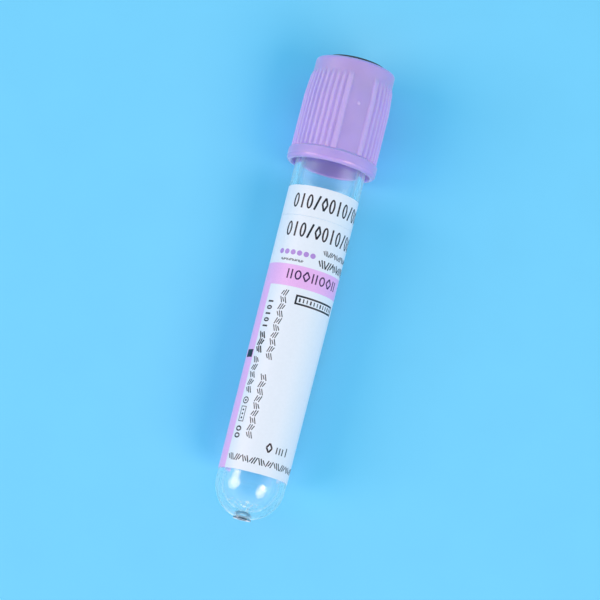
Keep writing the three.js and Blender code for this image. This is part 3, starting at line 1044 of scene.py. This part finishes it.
class COLLECTIONTUBE_OT_additive(bpy.types.Operator):
    """Scatters the dried drops of additive over the round bottom of the bore"""
    bl_idname = "collection_tube.additive"
    bl_label = "Dried Additive"

    def execute(self, context):
        additive = settings("additive")
        radius, height = bowl()
        foot = radius - additive.clearance
        flatness = 0.5
        chance = random.Random(13)
        mesh = bmesh.new()
        for index in range(additive.drops):
            share = (index + 0.5) / additive.drops
            size = additive.smallest + (additive.largest - additive.smallest) * chance.random() ** 3
            climb = Matrix.Rotation(additive.reach * math.sqrt(share), 4, "Y")
            turn = Matrix.Rotation(index * math.pi * (3 - math.sqrt(5)) + chance.random(), 4, "Z")
            place = Matrix.Translation((0, 0, height)) @ turn @ climb
            place = place @ Matrix.Translation((0, 0, size * flatness - foot))
            shape = Matrix.Diagonal((1, 0.8 + 0.4 * chance.random(), flatness, 1))
            bmesh.ops.create_icosphere(mesh, subdivisions=2, radius=size, matrix=place @ shape)
        bmesh.ops.recalc_face_normals(mesh, faces=mesh.faces)
        slot = node = "dried_additive"
        made_piece("additive_drops", mesh, dried_salt_drops(), "tube_body", slot, node)
        return {"FINISHED"}


# ---- studio ----

def softbox(name, lean, along, wide, tall, power):
    """A round softbox that looks at the tube, leaning to its right by degrees from straight up."""
    reach = settings("studio").lamp_distance
    data = bpy.data.lights.new(name, "AREA")
    data.shape = "ELLIPSE"
    data.size, data.size_y, data.energy = wide, tall, power
    data.color = settings("studio").lamp_colour
    lamp = placed(name, data)
    lean = math.radians(lean)
    lamp.location = Vector((math.sin(lean) * reach, along, math.cos(lean) * reach))
    back = lamp.location.normalized()
    side = Vector((0, 1, 0)).cross(back).normalized()
    lamp.rotation_mode = "QUATERNION"
    lamp.rotation_quaternion = Matrix((side, back.cross(side), back)).transposed().to_quaternion()
    lamp.visible_camera = False


class COLLECTIONTUBE_OT_studio(bpy.types.Operator):
    """Sets the floor, the two softboxes, the soft sky and the camera"""
    bl_idname = "collection_tube.studio"
    bl_label = "Studio"

    def execute(self, context):
        studio = settings("studio")
        scene = context.scene
        scene.view_settings.view_transform = "Standard"

        mesh = bmesh.new()
        place = Matrix.Translation((0, 0, CAD_BOX[0].z - studio.floor_drop))
        bmesh.ops.create_grid(mesh, x_segments=1, y_segments=1, size=studio.floor_reach, matrix=place)
        made_object("studio_floor", mesh, studio_floor())

        softbox("softbox_left", lean=-55, along=-0.25, wide=0.9, tall=0.74, power=10.5)
        softbox("softbox_right", lean=45, along=-0.45, wide=0.68, tall=0.96, power=11.2)

        world = bpy.data.worlds.new("Soft sky")
        scene.world = world
        world.use_nodes = True
        tree = world.node_tree
        tree.nodes.clear()
        light = add(tree, "Background", {"Color": (*studio.ambient, 1), "Strength": studio.ambient_level})
        up = add(tree, "SeparateXYZ", {0: add(tree, "TexCoord").outputs["Generated"]}).outputs["Z"]
        room = {"Value": up, "From Min": 0.9, "From Max": 0.5, "To Min": studio.ceiling_level}
        bright = add(tree, "MapRange", {**room, "To Max": studio.walls_level}).outputs["Result"]
        walls = add(tree, "Background", {"Color": (*studio.walls, 1), "Strength": bright})
        seen = add(tree, "Background", {"Color": (*studio.sky, 1)})
        path = add(tree, "LightPath").outputs
        inputs = {0: path["Is Glossy Ray"], 1: path["Is Transmission Ray"]}
        mirrored = add(tree, "Math", inputs, operation="MAXIMUM").outputs[0]
        lit = add(tree, "MixShader", {0: mirrored, 1: light.outputs[0], 2: walls.outputs[0]})
        sky = add(tree, "MixShader", {0: path["Is Camera Ray"], 1: lit.outputs[0], 2: seen.outputs[0]})
        tree.links.new(sky.outputs[0], add(tree, "OutputWorld").inputs["Surface"])

        data = bpy.data.cameras.new("studio_camera")
        data.lens = studio.lens / MM
        data.sensor_width = 36
        data.clip_start, data.clip_end = 0.01, 20
        camera = placed("studio_camera", data)
        aim = LAID_DOWN @ Vector((studio.aim_side, 0, studio.aim_height))
        level = math.cos(studio.elevation)
        back = Vector((
            math.sin(studio.azimuth) * level, -math.cos(studio.azimuth) * level,
            math.sin(studio.elevation),
        ))
        camera.location = aim + back * studio.distance
        camera.rotation_mode = "QUATERNION"
        camera.rotation_quaternion = (-back).to_track_quat("-Z", "Y")
        scene.camera = camera
        return {"FINISHED"}


# ---- add-on ----

class COLLECTIONTUBE_PT_panel(bpy.types.Panel):
    """Lists the tube's pieces and settings"""
    bl_idname = "COLLECTIONTUBE_PT_panel"
    bl_label = "Collection Tube"
    bl_space_type = "VIEW_3D"
    bl_region_type = "UI"
    bl_category = "Collection Tube"

    def draw(self, context):
        for operator in OPERATORS:
            self.layout.operator(operator.bl_idname)
        for name, group in GROUPS.items():
            box = self.layout.box()
            box.label(text=group.__doc__)
            for setting in group.__annotations__:
                box.prop(settings(name), setting)


OPERATORS = (
    COLLECTIONTUBE_OT_studio,
    COLLECTIONTUBE_OT_tube,
    COLLECTIONTUBE_OT_label,
    COLLECTIONTUBE_OT_print,
    COLLECTIONTUBE_OT_additive,
    COLLECTIONTUBE_OT_cap,
    COLLECTIONTUBE_OT_stopper,
)
CLASSES = (*GROUPS.values(), *OPERATORS, COLLECTIONTUBE_PT_panel)


def register():
    for kind in CLASSES:
        bpy.utils.register_class(kind)
    for name, group in GROUPS.items():
        setattr(bpy.types.Scene, "collection_tube_" + name, PointerProperty(type=group))


def unregister():
    for name in GROUPS:
        delattr(bpy.types.Scene, "collection_tube_" + name)
    for kind in reversed(CLASSES):
        bpy.utils.unregister_class(kind)


def main():
    """Makes every piece."""
    register()
    bpy.ops.collection_tube.studio()
    bpy.ops.collection_tube.tube()
    bpy.ops.collection_tube.label()
    bpy.ops.collection_tube.print()
    bpy.ops.collection_tube.additive()
    bpy.ops.collection_tube.cap()
    bpy.ops.collection_tube.stopper()


if __name__ == "__main__":
    main()
